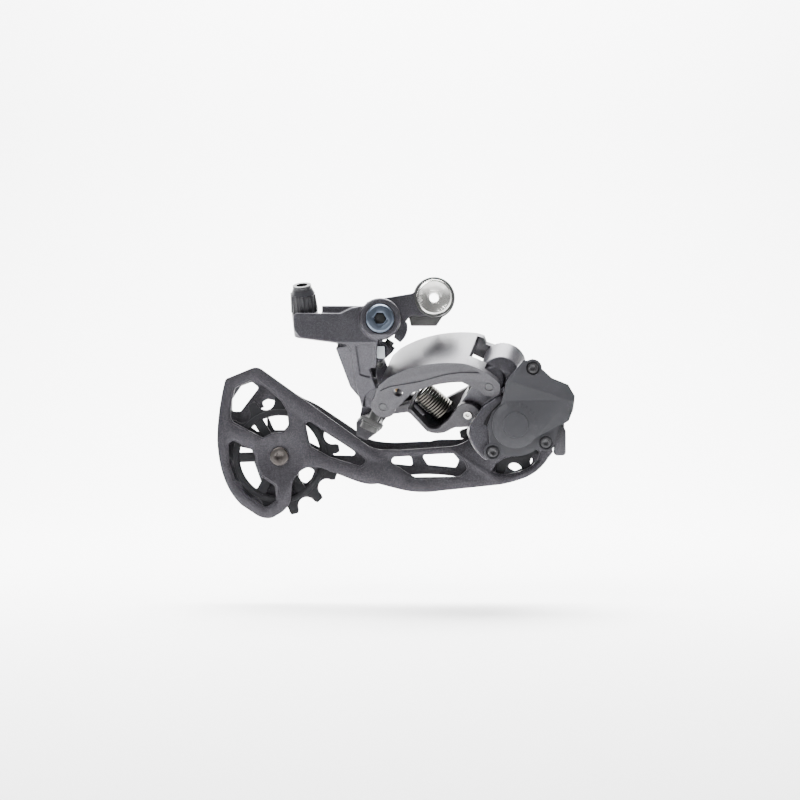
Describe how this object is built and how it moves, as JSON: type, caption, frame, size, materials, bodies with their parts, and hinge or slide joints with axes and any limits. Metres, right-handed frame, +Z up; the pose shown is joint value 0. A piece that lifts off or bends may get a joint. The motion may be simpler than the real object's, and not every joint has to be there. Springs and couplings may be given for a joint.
{
  "type": "rear bicycle derailleur",
  "caption": "Long-cage rear derailleur: hanger bracket, slanted four-bar linkage, clutch housing, sprung cage with two toothed pulleys, barrel cable adjuster.",
  "frame": {"origin": "on the hanger bolt's axis, at the face that rests against the frame hanger", "axes": "+X forward along the bicycle, +Y inboard towards the wheel along the hanger bolt, +Z up"},
  "size_m": [0.1636, 0.0555, 0.1117],
  "materials": {
    "knuckle_grey": "satin metallic paint with fine flake",
    "link_grey": "semi-gloss metallic paint",
    "inner_link_grey": "satin dark grey paint",
    "cage_grey": "satin metallic paint on alloy",
    "black_steel": "black finish",
    "clamp_grey": "zinc plated",
    "nickel": "bright nickel plate",
    "zinc": "blue zinc plate",
    "steel": "machined steel",
    "spring_steel": "drawn wire",
    "bolt_bronze": "dark plated",
    "bushing_bronze": "sintered bronze",
    "adjuster_black": "moulded, fluted",
    "insert_grey": "moulded",
    "cover_grey": "fine matt grain",
    "gasket_black": "rubber",
    "lever_grey": "satin",
    "pulley_black": "moulded"
  },
  "bodies": {
    "hanger_bracket": {"bracket_link": "knuckle_grey", "stop_plate": "black_steel", "mounting_bolt": "nickel", "bolt_retaining_ring": "black_steel", "b_axle_bolt": "zinc"},
    "b_knuckle": {"b_knuckle_body": "knuckle_grey", "b_axle_bushing": "bushing_bronze", "a_pivot_bushing": "bushing_bronze", "knuckle_insert": "insert_grey"},
    "adjuster": {"barrel_adjuster": "adjuster_black"},
    "b_screw": {"b_tension_screw": "black_steel"},
    "outer_link": {"outer_link_body": "link_grey", "pin_a": "steel", "pin_b": "steel"},
    "inner_link": {"inner_link_body": "inner_link_grey", "pin_c": "nickel", "pin_d": "nickel", "return_spring": "spring_steel", "cable_clamp_plate": "clamp_grey", "cable_clamp_washer": "black_steel", "cable_clamp_bolt": "black_steel"},
    "p_knuckle": {"p_knuckle_body": "knuckle_grey", "limit_screws": "black_steel", "cover_gasket": "gasket_black", "stabilizer_cover": "cover_grey", "cover_bolts": "black_steel", "roller_clutch": "steel", "friction_band": "steel", "p_axle_bushing": "bushing_bronze", "cage_spring": "spring_steel"},
    "lever": {"switch_lever": "lever_grey"},
    "cage": {"outer_cage_plate": "cage_grey", "inner_cage_plate": "cage_grey", "p_axle": "steel", "clutch_sleeve": "steel", "guide_bushing": "steel", "tension_bushing": "steel", "guide_bolt": "bolt_bronze", "tension_bolt": "bolt_bronze", "cage_stop_pin": "black_steel"},
    "guide_wheel": {"guide_pulley": "pulley_black"},
    "tension_wheel": {"tension_pulley": "pulley_black"}
  },
  "joints": [
    {"name": "b_pivot", "type": "hinge", "parent": "hanger_bracket", "child": "b_knuckle", "pos_m": [-0.0246, -0.014, -0.0103], "axis": [0, 1, 0], "range_deg": [0, 25]},
    {"name": "adjuster_turn", "type": "hinge", "parent": "b_knuckle", "child": "adjuster", "pos_m": [-0.0588, -0.009, -0.0082], "axis": [-0.0897, -0.3388, 0.9366], "continuous": true},
    {"name": "b_screw_slide", "type": "slide", "parent": "b_knuckle", "child": "b_screw", "axis": [-0.5524, 0, -0.8336], "range_m": [0, 0.003]},
    {"name": "link_swing", "type": "hinge", "parent": "b_knuckle", "child": "outer_link", "pos_m": [-0.02029, 0.00662, -0.04312], "axis": [0.2391, 0.809, 0.537], "range_deg": [0, 75], "stiffness_Nm_per_rad": 0.15, "springref_deg": -126.05},
    {"name": "inner_swing", "type": "hinge", "parent": "b_knuckle", "child": "inner_link", "pos_m": [-0.02946, 0.02052, -0.05626], "axis": [0.2391, 0.809, 0.537], "range_deg": [0, 75]},
    {"name": "knuckle_level", "type": "hinge", "parent": "outer_link", "child": "p_knuckle", "pos_m": [0.02737, -0.01345, -0.0341], "axis": [0.2391, 0.809, 0.537], "range_deg": [-75, 0]},
    {"name": "cage_swing", "type": "hinge", "parent": "p_knuckle", "child": "cage", "pos_m": [0.036, 0, -0.058], "axis": [0, -1, 0], "range_deg": [0, 100], "stiffness_Nm_per_rad": 0.06, "springref_deg": -171.89},
    {"name": "lever_turn", "type": "hinge", "parent": "p_knuckle", "child": "lever", "pos_m": [0.056, -0.015, -0.0614], "axis": [0, -1, 0], "range_deg": [0, 60]},
    {"name": "guide_spin", "type": "hinge", "parent": "cage", "child": "guide_wheel", "pos_m": [0.036, 0.0181, -0.058], "axis": [0, -1, 0], "continuous": true},
    {"name": "tension_spin", "type": "hinge", "parent": "cage", "child": "tension_wheel", "pos_m": [-0.0719, 0.0181, -0.0732], "axis": [0, -1, 0], "continuous": true}
  ],
  "couplings": [
    {"joint": "inner_swing", "follows": "link_swing", "ratio": 1},
    {"joint": "knuckle_level", "follows": "link_swing", "ratio": -1}
  ]
}
